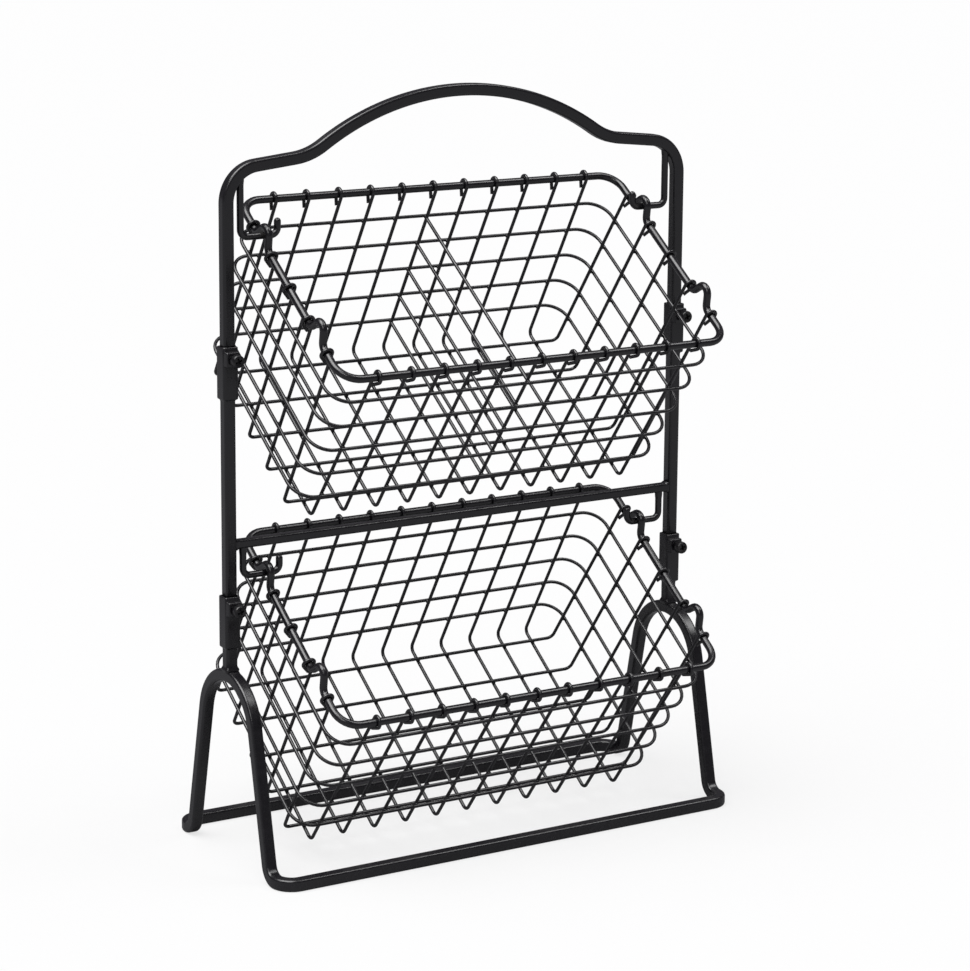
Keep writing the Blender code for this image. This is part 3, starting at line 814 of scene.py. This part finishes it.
class STAND_OT_screws(bpy.types.Operator):
    """Turn the four clamping screws with a cross recess in each head"""

    bl_idname = "stand.screws"
    bl_label = "Screws"

    def execute(self, context):
        sizes = frame_sizes()
        for tier in TIERS:
            height = getattr(sizes, tier + "_sleeve_top") - sizes.screw_drop
            for name, side in SIDES:
                self.screw(f"{tier}_screw_{name}", side * sizes.post_x, height)
        return {"FINISHED"}

    def screw(self, node, across, height):
        sizes = frame_sizes()
        seat = sizes.sleeve / 2 + sizes.boss_height + sizes.clearance
        tip = sizes.tube / 2 + sizes.clearance
        head = sizes.screw_head / 2
        neck = sizes.screw_neck / 2
        shank = sizes.screw_shank / 2
        under = seat + sizes.screw_neck_length
        crown = under + sizes.screw_head_height
        profile = stepped(SCREW_TIP, tip, shank) + [(shank, seat)]
        profile += stepped(NECK_FOOT, seat, neck) + stepped(NECK_TOP, under, neck)
        profile += stepped(HEAD_FOOT, under, head) + stepped(HEAD_ROUND, crown, head)
        rings = rings_of(circle(2.0, TURNED_SIDES), profile)
        cross = self.cross_recess(head * RECESS_ARM, head * RECESS_CORE)
        rings += rings_of(cross, stepped(RECESS_WALL, crown))
        place = Matrix.Translation((across, 0.0, height)) @ Matrix.Rotation(math.pi / 2, 4, "X")
        place = place @ Matrix.Rotation(SCREW_TURN, 4, "Z")
        shape = bmesh.new()
        loft(shape, [[place @ spot for spot in ring] for ring in rings])
        add_piece(node + "_turned", shape, "screw_coat", node, node)

    def cross_recess(self, arm, core):
        """Outline of a cross recess with as many points as a turned ring."""
        outline = []
        for index in range(TURNED_SIDES):
            turn = 2 * math.pi * index / TURNED_SIDES
            off = abs((turn + math.pi / 4) % (math.pi / 2) - math.pi / 4)
            reach = core * RECESS_WEB
            if off < RECESS_CORNER:
                reach = core / max(math.sin(off), core / arm)
            outline.append((reach * math.cos(turn), reach * math.sin(turn)))
        return outline


class STAND_OT_rims(bpy.types.Operator):
    """Bend the two notched basket rims"""

    bl_idname = "stand.rims"
    bl_label = "Basket rims"

    def execute(self, context):
        sizes = basket_sizes()
        side = [((sizes.half_width, 0.0, 0.0), sizes.rim_corner)]
        for start in (sizes.rear_notch, sizes.front_notch):
            side.append(((sizes.half_width, start, 0.0), sizes.notch_ease))
            peak = start + sizes.notch_half
            side.append(((sizes.half_width, peak, sizes.notch_rise), sizes.notch_bend))
            side.append(((sizes.half_width, peak + sizes.notch_half, 0.0), sizes.notch_ease))
        side.append(((sizes.half_width, sizes.rim_length, 0.0), sizes.rim_corner))
        other = [((-spot[0], spot[1], spot[2]), bend) for spot, bend in reversed(side)]
        for tier in TIERS:
            corners = [(basket_point(tier, *spot), bend) for spot, bend in side + other]
            shape = bmesh.new()
            sweep(shape, bent(corners, closed=True), circle(sizes.rim_wire, RIM_SIDES), closed=True,
                  side=(1.0, 0.0, 0.0))
            add_piece(f"{tier}_rim_wire", shape, "wire_coat", f"{tier}_basket", f"{tier}_rim")
        return {"FINISHED"}


class STAND_OT_wall_loops(bpy.types.Operator):
    """Bend the level wires round the outside of the basket walls"""

    bl_idname = "stand.wall_loops"
    bl_label = "Wall loops"

    def execute(self, context):
        sizes = basket_sizes()
        for tier in TIERS:
            for level in range(1, LOOPS + 1):
                depth = level * sizes.loop_pitch
                reach = sizes.half_width - wall_inset(sizes.side_taper, depth) + sizes.wire_step
                back = wall_inset(sizes.end_taper, depth) - sizes.wire_step
                front = sizes.rim_length - back
                turns = ((reach, back), (reach, front), (-reach, front), (-reach, back))
                corners = [(basket_point(tier, across, along, -depth), sizes.loop_corner)
                           for across, along in turns]
                shape = bmesh.new()
                sweep(shape, bent(corners, closed=True), circle(sizes.mesh_wire, WIRE_SIDES),
                      closed=True, side=(1.0, 0.0, 0.0))
                node = f"{tier}_wall_loop_{level}"
                add_piece(node + "_wire", shape, "wire_coat", f"{tier}_basket", node)
        return {"FINISHED"}


class STAND_OT_cross_wires(bpy.types.Operator):
    """Bend the wires that run front to back, and the divider of the upper basket"""

    bl_idname = "stand.cross_wires"
    bl_label = "Cross wires and divider"

    def execute(self, context):
        sizes = basket_sizes()
        centre = sizes.rim_length / 2
        run = u_wire(centre, sizes.end_taper, sizes.depth)
        for tier in TIERS:
            for index in range(1, CROSS_WIRES + 1):
                path = [basket_point(tier, cross_offset(index), centre + along, up) for along, up in run]
                shape = bmesh.new()
                sweep(shape, path, circle(sizes.mesh_wire, WIRE_SIDES), side=(1.0, 0.0, 0.0))
                node = f"{tier}_cross_wire_{index}"
                if node not in frame["nodes"]:
                    node = f"{tier}_divider"
                    self.rungs(shape, tier)
                add_piece(node + "_wire", shape, "wire_coat", f"{tier}_basket", node)
        return {"FINISHED"}

    def rungs(self, shape, tier):
        """Level wires across the middle of the basket, one at each wall loop."""
        sizes = basket_sizes()
        for level in range(1, LOOPS + 1):
            depth = level * sizes.loop_pitch
            inset = wall_inset(sizes.end_taper, depth)
            ends = (inset, sizes.rim_length - inset)
            path = [basket_point(tier, 0.0, along, -depth) for along in ends]
            sweep(shape, path, circle(sizes.mesh_wire, WIRE_SIDES), side=(1.0, 0.0, 0.0))


class STAND_OT_long_wires(bpy.types.Operator):
    """Bend the wires that run from side to side"""

    bl_idname = "stand.long_wires"
    bl_label = "Long wires"

    def execute(self, context):
        sizes = basket_sizes()
        run = u_wire(sizes.half_width, sizes.side_taper, sizes.depth - sizes.wire_step)
        for tier in TIERS:
            for index in range(1, LONG_WIRES + 1):
                path = [basket_point(tier, across, long_offset(index), up) for across, up in run]
                shape = bmesh.new()
                sweep(shape, path, circle(sizes.mesh_wire, WIRE_SIDES))
                node = f"{tier}_long_wire_{index}"
                add_piece(node + "_wire", shape, "wire_coat", f"{tier}_basket", node)
        return {"FINISHED"}


class STAND_OT_spot_welds(bpy.types.Operator):
    """Add the spot welds where the basket wires cross"""

    bl_idname = "stand.spot_welds"
    bl_label = "Spot welds"

    def execute(self, context):
        sizes = basket_sizes()
        half_step = sizes.wire_step / 2
        spots = []
        for level in range(1, LOOPS + 1):
            depth = level * sizes.loop_pitch
            inset = wall_inset(sizes.end_taper, depth) - half_step
            reach = sizes.half_width - wall_inset(sizes.side_taper, depth) + half_step
            for index in range(1, CROSS_WIRES + 1):
                for along in (inset, sizes.rim_length - inset):
                    spots.append((cross_offset(index), along, -depth, 1))
            for index in range(1, LONG_WIRES + 1):
                for across in (-reach, reach):
                    spots.append((across, long_offset(index), -depth, 0))
        for index in range(1, CROSS_WIRES + 1):
            for other in range(1, LONG_WIRES + 1):
                spots.append((cross_offset(index), long_offset(other), half_step - sizes.depth, 2))
        for tier in TIERS:
            turn = basket_place(tier).to_3x3().to_4x4()
            shape = bmesh.new()
            for across, along, up, through in spots:
                size = [sizes.weld_width] * 3
                size[through] = sizes.weld_height
                place = Matrix.Translation(basket_point(tier, across, along, up)) @ turn
                bmesh.ops.create_icosphere(shape, subdivisions=WELD_FACETS, radius=1.0,
                                           matrix=place @ Matrix.Diagonal((*size, 1.0)))
            add_piece(f"{tier}_spot_welds", shape, "wire_coat", f"{tier}_basket")
        return {"FINISHED"}


class STAND_OT_stage(bpy.types.Operator):
    """Set out the pale floor, the soft lights and the camera"""

    bl_idname = "stand.stage"
    bl_label = "Stage"

    def execute(self, context):
        context.scene.view_settings.view_transform = "Standard"
        self.floor()
        self.surround(context.scene)
        for light in LIGHTS:
            self.lamp(*light)
        self.camera(context.scene)
        return {"FINISHED"}

    def floor(self):
        shape = bmesh.new()
        bmesh.ops.create_circle(shape, cap_ends=True, segments=FLOOR_SIDES, radius=FLOOR_RADIUS)
        data = bpy.data.meshes.new("floor")
        shape.to_mesh(data)
        shape.free()
        floor = bpy.data.objects.new("floor", data)
        bpy.context.scene.collection.objects.link(floor)
        material = bpy.data.materials.new("pale_floor")
        sheet = Sheet(material)
        shader = sheet.nodes["Principled BSDF"]
        shader.inputs["Roughness"].default_value = FLOOR_ROUGHNESS
        shader.inputs["Specular IOR Level"].default_value = FLOOR_SHEEN
        look = finishes()
        seen = self.seen(sheet)
        tone = sheet.blend(seen, solid(look.floor), solid(look.floor_seen))
        sheet.feed(shader.inputs["Base Color"], tone)
        glow = sheet.add("ShaderNodeEmission", None, {"Color": WHITE, "Strength": WHITE_STRENGTH})
        mixed = sheet.add("ShaderNodeMixShader", None,
                          {0: seen * FLOOR_GLOW, 1: Term(sheet, shader.outputs[0]), 2: glow})
        sheet.feed(sheet.nodes["Material Output"].inputs["Surface"], mixed)
        data.materials.append(material)

    def seen(self, sheet):
        """How white the background is to a ray: all to the camera, a share of it to a reflection."""
        camera, through, mirror = (sheet.add("ShaderNodeLightPath", output=f"Is {ray} Ray")
                                   for ray in ("Camera", "Transmission", "Glossy"))
        return camera + through + mirror * finishes().mirrored

    def surround(self, scene):
        """White to the camera, and a plain soft grey light on the object."""
        world = bpy.data.worlds.new("studio")
        scene.world = world
        sheet = Sheet(world)
        plain = sheet.nodes["Background"]
        plain.inputs["Color"].default_value = solid(finishes().surround)
        plain.inputs["Strength"].default_value = 1.0
        white = sheet.add("ShaderNodeBackground", None, {"Color": WHITE, "Strength": WHITE_STRENGTH})
        mixed = sheet.add("ShaderNodeMixShader", None,
                          {0: self.seen(sheet), 1: Term(sheet, plain.outputs[0]), 2: white})
        sheet.feed(sheet.nodes["World Output"].inputs["Surface"], mixed)

    def lamp(self, name, place, spread, strength):
        """Broad soft light from far off, so that the floor is lit evenly."""
        data = bpy.data.lights.new(name, "SUN")
        data.angle = math.radians(spread)
        data.energy = strength
        lamp = bpy.data.objects.new(name, data)
        lamp.location = place
        lamp.rotation_euler = Vector(place).to_track_quat("Z", "Y").to_euler()
        bpy.context.scene.collection.objects.link(lamp)

    def camera(self, scene):
        data = bpy.data.cameras.new("camera")
        data.sensor_fit = "HORIZONTAL"
        data.sensor_width = SENSOR
        data.lens = LENS
        data.shift_y = LENS_SHIFT
        camera = bpy.data.objects.new("camera", data)
        level = Vector((math.sin(CAMERA_TURN), math.cos(CAMERA_TURN), 0.0))
        ahead = level * math.cos(CAMERA_DIP) - Vector((0.0, 0.0, math.sin(CAMERA_DIP)))
        flat_right = Vector((math.cos(CAMERA_TURN), -math.sin(CAMERA_TURN), 0.0))
        right = Matrix.Rotation(-CAMERA_ROLL, 3, ahead) @ flat_right
        axes = Matrix((right, right.cross(ahead), -ahead)).transposed().to_4x4()
        camera.matrix_world = Matrix.Translation(CAMERA_PLACE) @ axes
        scene.collection.objects.link(camera)
        scene.camera = camera


OPERATORS = (STAND_OT_base_loop, STAND_OT_posts, STAND_OT_crossbar, STAND_OT_top_frame,
             STAND_OT_hooks, STAND_OT_screws, STAND_OT_rims, STAND_OT_wall_loops, STAND_OT_cross_wires,
             STAND_OT_long_wires, STAND_OT_spot_welds, STAND_OT_stage)


class STAND_PT_panel(bpy.types.Panel):
    """Sizes, finishes and pieces of the produce stand"""

    bl_idname = "STAND_PT_panel"
    bl_label = "Produce stand"
    bl_space_type = "VIEW_3D"
    bl_region_type = "UI"
    bl_category = "Produce Stand"

    def draw(self, context):
        for operator in OPERATORS:
            self.layout.operator(operator.bl_idname)
        for group in (frame_sizes(), basket_sizes(), finishes()):
            box = self.layout.box()
            for key in group.bl_rna.properties.keys():
                if key not in ("rna_type", "name"):
                    box.prop(group, key)


GROUPS = (("stand_frame", StandFrameSizes), ("stand_basket", StandBasketSizes),
          ("stand_finishes", StandFinishes))


def register():
    for name, group in GROUPS:
        bpy.utils.register_class(group)
        setattr(bpy.types.Scene, name, PointerProperty(type=group))
    for operator in OPERATORS:
        bpy.utils.register_class(operator)
    bpy.utils.register_class(STAND_PT_panel)


def unregister():
    bpy.utils.unregister_class(STAND_PT_panel)
    for operator in reversed(OPERATORS):
        bpy.utils.unregister_class(operator)
    for name, group in reversed(GROUPS):
        delattr(bpy.types.Scene, name)
        bpy.utils.unregister_class(group)


def main():
    register()
    for thing in list(bpy.data.objects):
        if thing.name in ("Cube", "Light", "Camera"):
            bpy.data.objects.remove(thing, do_unlink=True)
    bpy.ops.stand.base_loop()
    bpy.ops.stand.posts()
    bpy.ops.stand.crossbar()
    bpy.ops.stand.top_frame()
    bpy.ops.stand.hooks()
    bpy.ops.stand.screws()
    bpy.ops.stand.rims()
    bpy.ops.stand.wall_loops()
    bpy.ops.stand.cross_wires()
    bpy.ops.stand.long_wires()
    bpy.ops.stand.spot_welds()
    bpy.ops.stand.stage()


if __name__ == "__main__":
    main()
